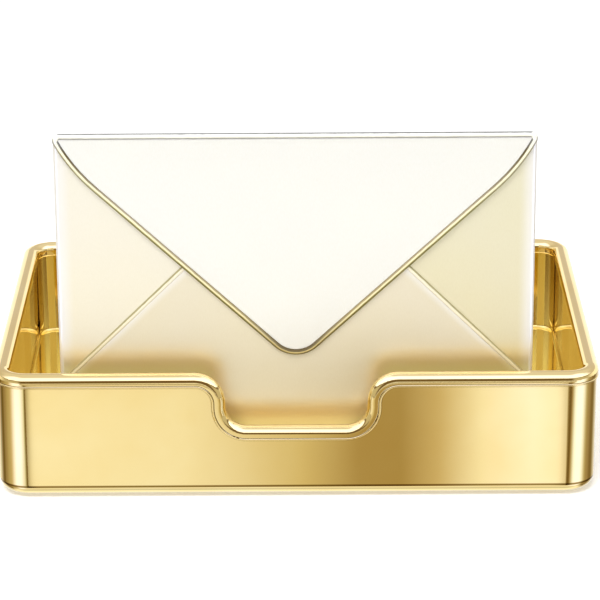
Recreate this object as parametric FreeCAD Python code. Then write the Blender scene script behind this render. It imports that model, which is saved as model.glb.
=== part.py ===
"""Desk letter tray with a finger notch in its front wall and an envelope standing in it.

Millimetres, +Z up, front towards -Y.  The origin is the middle of the tray's footprint, on the desk.
The tray is a board carcass clad in brass sheet: an outer skin, an inner liner and a rim moulding
that follows the notch.  The envelope lifts straight out of a folded channel on the tray's floor,
and its closure flap turns up about the top fold.
"""
import FreeCAD, Part
import math
import os

Vector = FreeCAD.Vector
X_AXIS, Y_AXIS, Z_AXIS = Vector(1, 0, 0), Vector(0, 1, 0), Vector(0, 0, 1)

# ---- tray: driving dimensions
TRAY_WIDTH = 292.0          # over the rim moulding
TRAY_DEPTH = 203.0          # over the rim moulding
BODY_HEIGHT = 62.8          # underside of the skin to the top of the rim
CORNER_RADIUS = 16.0        # plan corner of the rim's outside
SHEET = 0.75                # brass sheet of the skin, the liner and the base plate
WALL_BOARD = 4.5            # board between the skin and the liner
BASE_BOARD = 12.0           # board under the tray's floor
BOTTOM_RADIUS = 6.0         # rolled lower edge of the skin
FLANGE_WIDTH = 14.0         # the skin turned in under the board
FLOOR_COVE = 1.5            # cove where the liner's walls meet its floor
PLATE_CORNER = 6.0          # plan corner of the opening in the flange
PLATE_GAP = 0.3             # base plate inside the skin's flange

# ---- rim moulding
RIM_WIDTH = 7.8
RIM_HEIGHT = 6.6
RIM_OVERHANG = 0.8          # the rim stands this far outside the skin
RIM_OUTER_RADIUS = 3.7
RIM_INNER_RADIUS = 3.7
RIM_FOOT_RADIUS = 0.8       # inner lower edge
RIM_BAND_RADIUS = 0.4       # lower edge of the front band, above the lip bead
LIP_BEAD_RADIUS = 0.65      # half-round bead under the front band

# ---- finger notch, sizes on the rim's upper edge
NOTCH_WIDTH = 68.4
NOTCH_DEPTH = 27.3
NOTCH_SHOULDER_RADIUS = 14.7
NOTCH_FOOT_RADIUS = 10.4

# ---- feet and fasteners
PAD_THICKNESS = 1.5
PAD_RADIUS = 9.0
PAD_INSET = 34.0            # pad centre from each side of the tray
SCREW_RADIUS = 1.25
SCREW_LENGTH = 9.0          # under the head
SCREW_HEAD_RADIUS = 2.6
SCREW_HEAD_HEIGHT = 1.0
SCREW_SLOT = 0.6
SCREW_PITCH = 75.0          # between screws along a row
SCREW_ROW_INSET = 30.0      # screw row from the tray's front and rear
SCREW_CLEARANCE = 0.05      # radial, in the plate and the board

# ---- envelope
ENVELOPE_WIDTH = 229.0
ENVELOPE_HEIGHT = 162.0     # foot to the fold of the closure flap
ENVELOPE_THICKNESS = 4.0    # pocket with its letters
ENVELOPE_GAP = 13.0         # rim's inside edge to the pocket's front
POCKET_CORNER = 3.0
PAPER = 0.5
EDGE_FLAT = 0.1             # flat left between the front and back rounding of the pocket
FOLD_DROP = 1.0             # pocket top below the fold's axis
FOOT_GAP = 0.3              # envelope above the channel's seat

# ---- bottom flap and its piping
BOTTOM_FLAP = 0.5
SEAM_FOOT = 39.5            # where each seam leaves the side fold, above the foot
SEAM_ANGLE = 44.5
BOTTOM_FLAP_HEIGHT = 120.0
SEAM_TURN_RADIUS = 8.0
SEAM_PIPING_WIDTH = 2.1
SEAM_PIPING_DEPTH = 0.9
SIDE_FLAP_APEX_GAP = 7.0    # side flap's point to the envelope's middle
SIDE_FLAP_APEX_RISE = 16.0  # side flap's point above the closure flap's tip

# ---- closure flap and its piping
FLAP_SHEET = 0.5
FLAP_LAY_GAP = 0.3          # closure flap in front of the seam piping
FLAP_ANGLE = 42.8           # slope of the V edges
FLAP_TIP_RADIUS = 13.8
FLAP_SHOULDER_RADIUS = 87.5
FLAP_SHOULDER_ANGLE = 62.0  # slope where the V edge reaches the corner
FLAP_CORNER_RADIUS = 2.0
PIPING_WIDTH = 2.7
PIPING_DEPTH = 1.4
PIPING_STEP = 0.5           # straight side of the piping before it rounds
PAPER_EDGE = 0.35           # rounding of a flap's front edge beside its piping

# ---- letters in the pocket
LETTER_SIDE_ROOM = 9.5      # pocket's side to the letters
LETTER_TOP_ROOM = 11.05     # pocket's top to the letters
LETTER_COUNT = 3
LETTER_CLEARANCE = 0.15
LETTER_CORNER = 1.0

# ---- channel that holds the envelope upright
CHANNEL_SHEET = 0.8
CHANNEL_HEIGHT = 12.0
CHANNEL_OVERLAP = 2.5       # channel past each end of the envelope
CHANNEL_CLEARANCE = 0.3     # each side of the envelope's foot

# ---- levels and planes worked out from the sizes above
SKIN_Z = PAD_THICKNESS
RIM_TOP_Z = SKIN_Z + BODY_HEIGHT
RIM_UNDER_Z = RIM_TOP_Z - RIM_HEIGHT
BOARD_Z = SKIN_Z + SHEET
FLOOR_Z = BOARD_Z + BASE_BOARD + SHEET
SKIN_INSET = RIM_OVERHANG
BOARD_INSET = SKIN_INSET + SHEET
LINER_INSET = BOARD_INSET + WALL_BOARD
INSIDE_INSET = LINER_INSET + SHEET
PLATE_INSET = SKIN_INSET + FLANGE_WIDTH

POCKET_Y = -TRAY_DEPTH / 2 + RIM_WIDTH + ENVELOPE_GAP
POCKET_BACK_Y = POCKET_Y + ENVELOPE_THICKNESS
FOOT_Z = FLOOR_Z + CHANNEL_SHEET + FOOT_GAP
FOLD_Z = FOOT_Z + ENVELOPE_HEIGHT
POCKET_TOP_Z = FOLD_Z - FOLD_DROP
EDGE_RADIUS = (ENVELOPE_THICKNESS - EDGE_FLAT) / 2
FLAP_BACK_Y = POCKET_Y - SEAM_PIPING_DEPTH - FLAP_LAY_GAP
POCKET_HALF = ENVELOPE_WIDTH / 2 - EDGE_RADIUS      # half width of the pocket's flat front


# ---- general shapes

def rounded_outline(half_x, half_y, radius):
    """Closed wire of a rectangle with round corners, about the origin in the XY plane."""
    arcs = []
    for side_x, side_y, start in ((1, 1, 0), (-1, 1, 90), (-1, -1, 180), (1, -1, 270)):
        centre = Vector(side_x * (half_x - radius), side_y * (half_y - radius), 0)
        arcs.append(Part.makeCircle(radius, centre, Z_AXIS, start, start + 90))
    return Part.Wire(Part.__sortEdges__(join_arcs(arcs)))


def plan_block(inset, corner_radius, z_low, z_high):
    """Solid with the tray's rectangular plan, set in from the rim's outside."""
    outline = rounded_outline(TRAY_WIDTH / 2 - inset, TRAY_DEPTH / 2 - inset, corner_radius)
    outline.translate(Vector(0, 0, z_low))
    return Part.Face(outline).extrude(Vector(0, 0, z_high - z_low))


def tray_block(inset, z_low, z_high, lower_radius=0.0):
    """Solid of the tray's plan, corners concentric with the rim's, with its lower edge rounded."""
    block = plan_block(inset, CORNER_RADIUS - inset, z_low, z_high)
    if lower_radius:
        low = [e for e in block.Edges if e.BoundBox.ZMax < z_low + 1e-6]
        block = block.makeFillet(lower_radius, low)
    return block


def upright_slab(half_x, z_low, z_high, y_front, y_back, radius):
    """Slab in the XZ plane with round corners, from y_front to y_back."""
    outline = rounded_outline(half_x, (z_high - z_low) / 2, radius)
    outline.rotate(Vector(0, 0, 0), X_AXIS, 90)
    outline.translate(Vector(0, y_front, (z_low + z_high) / 2))
    return Part.Face(outline).extrude(Vector(0, y_back - y_front, 0))


def run_profile(face, moves):
    """Solid that a profile face sweeps through a list of straight moves and turns about axes."""
    pieces = []
    for move in moves:
        following = face.copy()
        if isinstance(move, Vector):
            pieces.append(face.extrude(move))
            following.translate(move)
        else:
            centre, axis, angle = move
            pieces.append(face.revolve(centre, axis, angle))
            following.rotate(centre, axis, angle)
        face = following
    return pieces[0].multiFuse(pieces[1:]).removeSplitter()


def sheet_face(points_and_arcs, y):
    """Face in the XZ plane at y from a closed chain of edges."""
    wire = Part.Wire(Part.__sortEdges__(points_and_arcs))
    wire.translate(Vector(0, y, 0))
    return Part.Face(wire)


def arc_xz(centre, radius, start, end):
    """Arc in the XZ plane; centre is (x, z) and the angles, in degrees, run from +X towards +Z."""
    def point(angle):
        turn = math.radians(angle)
        return Vector(centre[0] + radius * math.cos(turn), 0, centre[1] + radius * math.sin(turn))
    return Part.Arc(point(start), point((start + end) / 2), point(end)).toShape()


def join_arcs(arcs):
    """Closed chain: the arcs in order, with a straight edge from each to the next."""
    edges = []
    for arc, following in zip(arcs, arcs[1:] + arcs[:1]):
        edges.append(arc)
        start, end = arc.lastVertex(True).Point, following.firstVertex(True).Point
        if start.distanceToPoint(end) > 1e-6:
            edges.append(Part.makeLine(start, end))
    return edges


# ---- finger notch

def notch_shape():
    """Turn angle, straight drop and the X of the shoulder and foot centres of the notch."""
    radii = NOTCH_SHOULDER_RADIUS + NOTCH_FOOT_RADIUS
    turn = math.acos(max(0.0, 1.0 - NOTCH_DEPTH / radii))
    drop = (NOTCH_DEPTH - radii * (1.0 - math.cos(turn))) / math.sin(turn)
    shoulder_x = NOTCH_WIDTH / 2 + NOTCH_SHOULDER_RADIUS * math.sin(turn)
    foot_x = NOTCH_WIDTH / 2 - NOTCH_FOOT_RADIUS * math.sin(turn)
    return math.degrees(turn), drop, shoulder_x, foot_x


def notch_cutter():
    """Everything above the rim's lower edge in the notch, through the whole front wall."""
    turn, drop, shoulder_x, foot_x = notch_shape()
    shoulder_z = RIM_TOP_Z - NOTCH_SHOULDER_RADIUS
    foot_z = RIM_TOP_Z - NOTCH_DEPTH + NOTCH_FOOT_RADIUS
    shoulder, foot = NOTCH_SHOULDER_RADIUS - RIM_HEIGHT, NOTCH_FOOT_RADIUS + RIM_HEIGHT
    arcs = [
        arc_xz((-shoulder_x, shoulder_z), shoulder, 90, 90 - turn),
        arc_xz((-foot_x, foot_z), foot, 270 - turn, 270),
        arc_xz((foot_x, foot_z), foot, 270, 270 + turn),
        arc_xz((shoulder_x, shoulder_z), shoulder, 90 + turn, 90),
    ]
    edges = join_arcs(arcs)[:-1]
    left, right = Vector(-shoulder_x, 0, RIM_UNDER_Z), Vector(shoulder_x, 0, RIM_UNDER_Z)
    above = Vector(0, 0, RIM_HEIGHT)
    edges += [Part.makeLine(right, right + above), Part.makeLine(right + above, left + above),
              Part.makeLine(left + above, left)]
    return sheet_face(edges, -TRAY_DEPTH / 2).extrude(Vector(0, INSIDE_INSET + FLOOR_COVE, 0))


# ---- tray pieces

def outer_skin(notch):
    """Brass sheet round the carcass, rolled under at the foot into a flange."""
    skin = tray_block(SKIN_INSET, SKIN_Z, RIM_UNDER_Z, BOTTOM_RADIUS)
    skin = skin.cut(carcass_space())
    skin = skin.cut(plan_block(PLATE_INSET, PLATE_CORNER, SKIN_Z, BOARD_Z))
    return skin.cut(notch)


def carcass_space():
    """The space inside the skin."""
    return tray_block(BOARD_INSET, BOARD_Z, RIM_UNDER_Z, BOTTOM_RADIUS - SHEET)


def inner_liner(notch):
    """Brass pan: the tray's floor and the inside of its walls, with a cove between them."""
    pan = tray_block(LINER_INSET, FLOOR_Z - SHEET, RIM_UNDER_Z, FLOOR_COVE + SHEET)
    hollow = tray_block(INSIDE_INSET, FLOOR_Z, RIM_UNDER_Z, FLOOR_COVE)
    return pan.cut(hollow).cut(notch)


def rim_profile(x, y_outside, z_top):
    """Section of the rim moulding across a run along X, with its outside towards -Y."""
    y_inside = y_outside + RIM_WIDTH
    z_low, z_band = z_top - RIM_HEIGHT, z_top - RIM_HEIGHT + 2 * LIP_BEAD_RADIUS
    arcs = [
        arc_xz((y_inside - RIM_FOOT_RADIUS, z_low + RIM_FOOT_RADIUS), RIM_FOOT_RADIUS, 270, 360),
        arc_xz((y_inside - RIM_INNER_RADIUS, z_top - RIM_INNER_RADIUS), RIM_INNER_RADIUS, 0, 90),
        arc_xz((y_outside + RIM_OUTER_RADIUS, z_top - RIM_OUTER_RADIUS), RIM_OUTER_RADIUS, 90, 180),
        arc_xz((y_outside + RIM_BAND_RADIUS, z_band + RIM_BAND_RADIUS), RIM_BAND_RADIUS, 180, 270),
        arc_xz((y_outside + LIP_BEAD_RADIUS, z_low + LIP_BEAD_RADIUS), LIP_BEAD_RADIUS, 90, 270),
    ]
    face = sheet_face(join_arcs(arcs), 0)
    face.rotate(Vector(0, 0, 0), Z_AXIS, 90)
    face.translate(Vector(x, 0, 0))
    return face


def rim_moulding():
    """Cast moulding capping the walls all round, dipping through the notch."""
    turn, drop, shoulder_x, foot_x = notch_shape()
    front_y = -TRAY_DEPTH / 2
    corner_x, corner_y = TRAY_WIDTH / 2 - CORNER_RADIUS, TRAY_DEPTH / 2 - CORNER_RADIUS
    shoulder_z = RIM_TOP_Z - NOTCH_SHOULDER_RADIUS
    foot_z = RIM_TOP_Z - NOTCH_DEPTH + NOTCH_FOOT_RADIUS
    slope = math.radians(turn)
    fall = Vector(drop * math.cos(slope), 0, -drop * math.sin(slope))
    climb = Vector(fall.x, 0, -fall.z)
    moves = [
        Vector(corner_x - shoulder_x, 0, 0),
        (Vector(corner_x, -corner_y, 0), Z_AXIS, 90),
        Vector(0, 2 * corner_y, 0),
        (Vector(corner_x, corner_y, 0), Z_AXIS, 90),
        Vector(-2 * corner_x, 0, 0),
        (Vector(-corner_x, corner_y, 0), Z_AXIS, 90),
        Vector(0, -2 * corner_y, 0),
        (Vector(-corner_x, -corner_y, 0), Z_AXIS, 90),
        Vector(corner_x - shoulder_x, 0, 0),
        (Vector(-shoulder_x, front_y, shoulder_z), Y_AXIS, turn),
        fall,
        (Vector(-foot_x, front_y, foot_z), -Y_AXIS, turn),
        Vector(2 * foot_x, 0, 0),
        (Vector(foot_x, front_y, foot_z), -Y_AXIS, turn),
        climb,
        (Vector(shoulder_x, front_y, shoulder_z), Y_AXIS, turn),
    ]
    moves = [m for m in moves if not isinstance(m, Vector) or m.Length > 1e-6]
    return run_profile(rim_profile(shoulder_x, front_y, RIM_TOP_Z), moves)


def wall_ring():
    """The four walls' board as one ring, which the boards and posts are cut from."""
    ring = tray_block(BOARD_INSET, BOARD_Z, RIM_UNDER_Z).cut(tray_block(LINER_INSET, BOARD_Z, RIM_UNDER_Z))
    return ring.common(carcass_space())


def wall_boards(notch):
    """The straight boards, by name."""
    ring = wall_ring()
    along_x, along_y = TRAY_WIDTH - 2 * CORNER_RADIUS, TRAY_DEPTH - 2 * CORNER_RADIUS
    boards = {}
    for name, side in (("front_wall_board", -1), ("rear_wall_board", 1)):
        y_low = -TRAY_DEPTH / 2 if side < 0 else TRAY_DEPTH / 2 - CORNER_RADIUS
        zone = Part.makeBox(along_x, CORNER_RADIUS, BODY_HEIGHT, Vector(-along_x / 2, y_low, SKIN_Z))
        boards[name] = ring.common(zone)
    for name, side in (("left_wall_board", -1), ("right_wall_board", 1)):
        x_low = -TRAY_WIDTH / 2 if side < 0 else TRAY_WIDTH / 2 - CORNER_RADIUS
        zone = Part.makeBox(CORNER_RADIUS, along_y, BODY_HEIGHT, Vector(x_low, -along_y / 2, SKIN_Z))
        boards[name] = ring.common(zone)
    boards["front_wall_board"] = boards["front_wall_board"].cut(notch)
    return boards


def corner_posts():
    """The bent posts that join the boards at the tray's corners, by name."""
    ring = wall_ring()
    posts = {}
    for end, side_y in (("front", -1), ("rear", 1)):
        for hand, side_x in (("left", -1), ("right", 1)):
            x_low = -TRAY_WIDTH / 2 if side_x < 0 else TRAY_WIDTH / 2 - CORNER_RADIUS
            y_low = -TRAY_DEPTH / 2 if side_y < 0 else TRAY_DEPTH / 2 - CORNER_RADIUS
            zone = Part.makeBox(CORNER_RADIUS, CORNER_RADIUS, BODY_HEIGHT, Vector(x_low, y_low, SKIN_Z))
            posts["corner_post_%s_%s" % (end, hand)] = ring.common(zone)
    return posts


def screw_places():
    """Centres of the base screws on the desk plane: two rows of three."""
    row_y = TRAY_DEPTH / 2 - SCREW_ROW_INSET
    return [Vector(step * SCREW_PITCH, side * row_y, 0) for side in (-1, 1) for step in (-1, 0, 1)]


def screw_holes(z_low, height):
    """Clearance holes for the base screws."""
    radius = SCREW_RADIUS + SCREW_CLEARANCE
    holes = [Part.makeCylinder(radius, height, place + Vector(0, 0, z_low)) for place in screw_places()]
    return Part.Compound(holes)


def base_board():
    """Board under the floor, with the screws' pilot holes."""
    board = tray_block(LINER_INSET, BOARD_Z, FLOOR_Z - SHEET).common(carcass_space())
    return board.cut(screw_holes(SKIN_Z, SCREW_LENGTH + SCREW_CLEARANCE))


def base_plate():
    """Sheet that closes the underside inside the skin's flange."""
    plate = plan_block(PLATE_INSET + PLATE_GAP, PLATE_CORNER - PLATE_GAP, SKIN_Z, BOARD_Z)
    return plate.cut(screw_holes(SKIN_Z, SHEET))


def base_screws():
    """Pan-head screws through the base plate into the board."""
    screws = []
    head_z = SKIN_Z - SCREW_HEAD_HEIGHT
    for place in screw_places():
        head = Part.makeCylinder(SCREW_HEAD_RADIUS, SCREW_HEAD_HEIGHT, Vector(0, 0, head_z))
        slot = Part.makeBox(2 * SCREW_HEAD_RADIUS, SCREW_SLOT, SCREW_HEAD_HEIGHT / 2,
                            Vector(-SCREW_HEAD_RADIUS, -SCREW_SLOT / 2, head_z))
        shank = Part.makeCylinder(SCREW_RADIUS, SCREW_LENGTH, Vector(0, 0, SKIN_Z))
        screw = head.cut(slot).fuse(shank)
        screw.translate(place)
        screws.append(screw)
    return Part.Compound(screws)


def foot_pads():
    """Felt discs under the corners, by name."""
    pads = {}
    for end, side_y in (("front", -1), ("rear", 1)):
        for hand, side_x in (("left", -1), ("right", 1)):
            place = Vector(side_x * (TRAY_WIDTH / 2 - PAD_INSET), side_y * (TRAY_DEPTH / 2 - PAD_INSET), 0)
            pads["foot_pad_%s_%s" % (end, hand)] = Part.makeCylinder(PAD_RADIUS, PAD_THICKNESS, place)
    return pads


def envelope_channel():
    """Folded U of brass on the floor that the envelope's foot stands in."""
    half = ENVELOPE_WIDTH / 2 + CHANNEL_OVERLAP
    slot_front = POCKET_Y - BOTTOM_FLAP - CHANNEL_CLEARANCE
    slot_back = POCKET_BACK_Y + CHANNEL_CLEARANCE
    outer = Part.makeBox(2 * half, slot_back - slot_front + 2 * CHANNEL_SHEET, CHANNEL_HEIGHT,
                         Vector(-half, slot_front - CHANNEL_SHEET, FLOOR_Z))
    slot = Part.makeBox(2 * half, slot_back - slot_front, CHANNEL_HEIGHT - CHANNEL_SHEET,
                        Vector(-half, slot_front, FLOOR_Z + CHANNEL_SHEET))
    return outer.cut(slot)


# ---- envelope pieces

def rounded_slab(inset, edge_radius):
    """The pocket's slab, set in all round, with its front and back edges rounded."""
    y_front, y_back = POCKET_Y + inset, POCKET_BACK_Y - inset
    slab = upright_slab(ENVELOPE_WIDTH / 2 - inset, FOOT_Z + inset, POCKET_TOP_Z - inset,
                        y_front, y_back, POCKET_CORNER - inset)
    rims = [e for e in slab.Edges if e.BoundBox.YMax - e.BoundBox.YMin < 1e-6]
    return slab.makeFillet(edge_radius, rims)


def front_window(y_front, y_back):
    """The pocket's flat front, inside its rounded folds, as a slab between two planes."""
    return upright_slab(POCKET_HALF, FOOT_Z + EDGE_RADIUS, POCKET_TOP_Z - EDGE_RADIUS, y_front, y_back,
                        POCKET_CORNER - EDGE_RADIUS)


def envelope_pocket():
    """Back panel of the envelope and the folds round its sides, open in front for the flaps."""
    pocket = rounded_slab(0.0, EDGE_RADIUS).cut(rounded_slab(PAPER, EDGE_RADIUS - PAPER))
    return pocket.cut(front_window(POCKET_Y, POCKET_Y + PAPER))


def flap_arcs(inset):
    """Corner, shoulder and tip arcs of the closure flap, set in from the piping's centre line.

    Returns (centre, radius, start angle, end angle) of each arc in the XZ plane, going clockwise
    from the right-hand end of the top fold.
    """
    alpha, beta = math.radians(FLAP_ANGLE), math.radians(FLAP_SHOULDER_ANGLE)
    half = (ENVELOPE_WIDTH - PIPING_WIDTH) / 2
    corner = (half - FLAP_CORNER_RADIUS, FOLD_Z - FLAP_CORNER_RADIUS)
    reach = FLAP_SHOULDER_RADIUS - FLAP_CORNER_RADIUS
    shoulder = (corner[0] - reach * math.sin(beta), corner[1] + reach * math.cos(beta))
    foot = (shoulder[0] + FLAP_SHOULDER_RADIUS * math.sin(alpha),
            shoulder[1] - FLAP_SHOULDER_RADIUS * math.cos(alpha))
    sharp_tip_z = foot[1] - foot[0] * math.tan(alpha)
    tip = (0.0, sharp_tip_z + FLAP_TIP_RADIUS / math.cos(alpha))
    a, b = FLAP_ANGLE, FLAP_SHOULDER_ANGLE
    return [
        (corner, FLAP_CORNER_RADIUS - inset, 90, b - 90),
        (shoulder, FLAP_SHOULDER_RADIUS - inset, b - 90, a - 90),
        (tip, FLAP_TIP_RADIUS - inset, a - 90, -90 - a),
        ((-shoulder[0], shoulder[1]), FLAP_SHOULDER_RADIUS - inset, -90 - a, -90 - b),
        ((-corner[0], corner[1]), FLAP_CORNER_RADIUS - inset, -90 - b, -270),
    ]


def soft_front(sheet, y_front):
    """A flat sheet with its front outline rounded."""
    outline = [e for e in sheet.Edges if e.BoundBox.YMax < y_front + 1e-6]
    return sheet.makeFillet(PAPER_EDGE, outline)


def closure_flap():
    """Flap sheet inside its piping."""
    arcs = [arc_xz(*arc) for arc in flap_arcs(PIPING_WIDTH / 2)]
    y_front = FLAP_BACK_Y - FLAP_SHEET
    return soft_front(sheet_face(join_arcs(arcs), y_front).extrude(Vector(0, FLAP_SHEET, 0)), y_front)


def piping_profile(width, depth, step):
    """Piping section in the YZ plane at x = 0: flat back on y = 0, round front towards -Y."""
    half = width / 2
    back_high, back_low = Vector(0, 0, half), Vector(0, 0, -half)
    front_high, front_low = Vector(0, -step, half), Vector(0, -step, -half)
    front = Part.Arc(front_high, Vector(0, -depth, 0), front_low).toShape()
    return Part.Face(Part.Wire([Part.makeLine(back_low, back_high), Part.makeLine(back_high, front_high),
                                front, Part.makeLine(front_low, back_low)]))


def turns_between(arcs):
    """Moves for run_profile along arcs given as flap_arcs gives them, with the straights between."""
    moves = []
    for index, (centre, radius, start, end) in enumerate(arcs):
        moves.append((Vector(centre[0], 0, centre[1]), Y_AXIS, start - end))
        if index + 1 < len(arcs):
            after, after_radius, after_start, _ = arcs[index + 1]
            leave, enter = math.radians(end), math.radians(after_start)
            step = Vector(after[0] + after_radius * math.cos(enter) - centre[0] - radius * math.cos(leave), 0,
                          after[1] + after_radius * math.sin(enter) - centre[1] - radius * math.sin(leave))
            if step.Length > 1e-6:
                moves.append(step)
    return moves


def flap_piping():
    """Gilt piping round the closure flap and along its fold."""
    arcs = flap_arcs(0.0)
    profile = piping_profile(PIPING_WIDTH, PIPING_DEPTH, PIPING_STEP)
    profile.translate(Vector(arcs[0][0][0], 0, FOLD_Z))
    top_run = Vector(2 * arcs[0][0][0], 0, 0)
    piping = run_profile(profile, turns_between(arcs) + [top_run])
    piping.translate(Vector(0, FLAP_BACK_Y, 0))
    return piping


def seam_arcs(inset):
    """Turns at the top of the bottom flap, set in from its outline, going clockwise from the left."""
    angle = math.radians(SEAM_ANGLE)
    top_z = FOOT_Z + BOTTOM_FLAP_HEIGHT
    top_half = POCKET_HALF - (BOTTOM_FLAP_HEIGHT - SEAM_FOOT) / math.tan(angle)
    x = top_half - SEAM_TURN_RADIUS * math.tan(angle / 2)
    z = top_z - SEAM_TURN_RADIUS
    radius = SEAM_TURN_RADIUS - inset
    return [((-x, z), radius, 90 + SEAM_ANGLE, 90), ((x, z), radius, 90, 90 - SEAM_ANGLE)]


def seam_foot(inset):
    """Point where the left seam, set in from its outline, leaves the side fold."""
    angle = math.radians(SEAM_ANGLE)
    return Vector(-POCKET_HALF, 0, FOOT_Z + SEAM_FOOT - inset / math.cos(angle))


def bottom_flap():
    """Flap folded up from the envelope's foot over the side flaps."""
    arcs = [arc_xz(*arc) for arc in seam_arcs(SEAM_PIPING_WIDTH)]
    left_seam = seam_foot(SEAM_PIPING_WIDTH)
    right_seam = Vector(-left_seam.x, 0, left_seam.z)
    low_left = Vector(-POCKET_HALF, 0, FOOT_Z + EDGE_RADIUS)
    low_right = Vector(POCKET_HALF, 0, FOOT_Z + EDGE_RADIUS)
    outline = [arcs[1].lastVertex(True).Point, right_seam, low_right, low_left, left_seam,
               arcs[0].firstVertex(True).Point]
    edges = join_arcs(arcs)[:-1] + [Part.makeLine(a, b) for a, b in zip(outline, outline[1:])]
    y_front = POCKET_Y - BOTTOM_FLAP
    return soft_front(sheet_face(edges, y_front).extrude(Vector(0, BOTTOM_FLAP, 0)), y_front)


def seam_piping():
    """Piping along the free edge of the bottom flap, ending at the side folds."""
    half = SEAM_PIPING_WIDTH / 2
    arcs = seam_arcs(half)
    angle = math.radians(SEAM_ANGLE)
    centre, radius = arcs[0][0], arcs[0][1]
    first = Vector(centre[0] - radius * math.sin(angle), 0, centre[1] + radius * math.cos(angle))
    rise = first - seam_foot(half)
    rise = rise * (1 + SEAM_PIPING_WIDTH / rise.Length)
    profile = piping_profile(SEAM_PIPING_WIDTH, SEAM_PIPING_DEPTH, BOTTOM_FLAP)
    profile.rotate(Vector(0, 0, 0), -Y_AXIS, SEAM_ANGLE)
    profile.translate(first - rise)
    fall = Vector(rise.x, 0, -rise.z)
    piping = run_profile(profile, [rise] + turns_between(arcs) + [fall])
    piping.translate(Vector(0, POCKET_Y, 0))
    return piping.common(front_window(POCKET_Y - SEAM_PIPING_DEPTH, POCKET_Y))


def side_flap(side):
    """Triangular flap folded in from one side; its point lies under the other flaps."""
    tip_centre, tip_radius = flap_arcs(0.0)[2][:2]
    apex_z = tip_centre[1] - tip_radius + SIDE_FLAP_APEX_RISE
    outer_x = side * POCKET_HALF
    corners = [Vector(outer_x, 0, FOOT_Z + EDGE_RADIUS), Vector(outer_x, 0, POCKET_TOP_Z - EDGE_RADIUS),
               Vector(side * SIDE_FLAP_APEX_GAP, 0, apex_z)]
    wire = Part.makePolygon(corners + corners[:1])
    wire.translate(Vector(0, POCKET_Y, 0))
    flap = Part.Face(wire).extrude(Vector(0, PAPER, 0))
    return flap.common(front_window(POCKET_Y, POCKET_Y + PAPER))


def letter_stack():
    """Folded letters standing in the pocket."""
    space = ENVELOPE_THICKNESS - 2 * PAPER - 2 * LETTER_CLEARANCE
    thickness = space / LETTER_COUNT
    half_width = ENVELOPE_WIDTH / 2 - LETTER_SIDE_ROOM
    z_low, z_high = FOOT_Z + EDGE_RADIUS, POCKET_TOP_Z - LETTER_TOP_ROOM
    letters = []
    for index in range(LETTER_COUNT):
        y = POCKET_Y + PAPER + LETTER_CLEARANCE + index * thickness
        gap = LETTER_CLEARANCE / LETTER_COUNT
        letters.append(upright_slab(half_width, z_low, z_high, y, y + thickness - gap, LETTER_CORNER))
    return Part.Compound(letters)


def build():
    """All pieces by node name."""
    notch = notch_cutter()
    pieces = {
        "outer_skin": outer_skin(notch),
        "inner_liner": inner_liner(notch),
        "rim_moulding": rim_moulding(),
        "base_board": base_board(),
        "base_plate": base_plate(),
        "base_screws": base_screws(),
        "envelope_channel": envelope_channel(),
        "envelope_pocket": envelope_pocket(),
        "left_side_flap": side_flap(-1),
        "right_side_flap": side_flap(1),
        "bottom_flap": bottom_flap(),
        "seam_piping": seam_piping(),
        "letter_stack": letter_stack(),
        "closure_flap": closure_flap(),
        "flap_piping": flap_piping(),
    }
    pieces.update(wall_boards(notch))
    pieces.update(corner_posts())
    pieces.update(foot_pads())
    return pieces


os.makedirs("parts", exist_ok=True)
for node, piece in sorted(build().items()):
    piece.exportStep("parts/%s.step" % node)
    box = piece.BoundBox
    print("%-26s solids %d valid %s volume %10.1f  x %7.2f %7.2f  y %7.2f %7.2f  z %7.2f %7.2f" % (
        node, len(piece.Solids), piece.isValid(), piece.Volume,
        box.XMin, box.XMax, box.YMin, box.YMax, box.ZMin, box.ZMax))
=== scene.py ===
import math

import bmesh
import bpy
from mathutils import Euler, Matrix, Vector


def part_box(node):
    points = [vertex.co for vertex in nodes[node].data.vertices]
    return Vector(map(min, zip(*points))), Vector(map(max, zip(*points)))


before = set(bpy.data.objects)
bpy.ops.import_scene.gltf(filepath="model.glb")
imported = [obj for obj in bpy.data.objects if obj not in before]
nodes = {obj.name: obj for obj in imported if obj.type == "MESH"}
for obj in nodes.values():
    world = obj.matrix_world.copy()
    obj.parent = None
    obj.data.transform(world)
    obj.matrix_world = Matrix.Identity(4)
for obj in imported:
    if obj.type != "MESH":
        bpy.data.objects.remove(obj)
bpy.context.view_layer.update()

# ---- Camera
# A long lens a metre and a half in front of the tray, looking down on it by twenty degrees and held a
# touch off level.
CAMERA_LENS_MM = 181.1
CAMERA_FILM_MM = 36.0
CAMERA_REACH = 20.0
CAMERA_PLACE = (0.002, -1.4445, 0.5915)
CAMERA_PITCH = math.radians(20.0)
CAMERA_ROLL = math.radians(-0.32)

camera_data = bpy.data.cameras.new("camera")
camera_data.lens = CAMERA_LENS_MM
camera_data.sensor_width = CAMERA_FILM_MM
camera_data.clip_end = CAMERA_REACH
camera = bpy.data.objects.new("camera", camera_data)
bpy.context.scene.collection.objects.link(camera)
camera_tilt = Euler((math.pi / 2 - CAMERA_PITCH, 0, 0)).to_matrix()
camera_turn = camera_tilt @ Matrix.Rotation(CAMERA_ROLL, 3, "Z")
camera.matrix_world = Matrix.Translation(CAMERA_PLACE) @ camera_turn.to_4x4()
bpy.context.scene.camera = camera
bpy.context.scene.view_settings.view_transform = "Standard"

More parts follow.
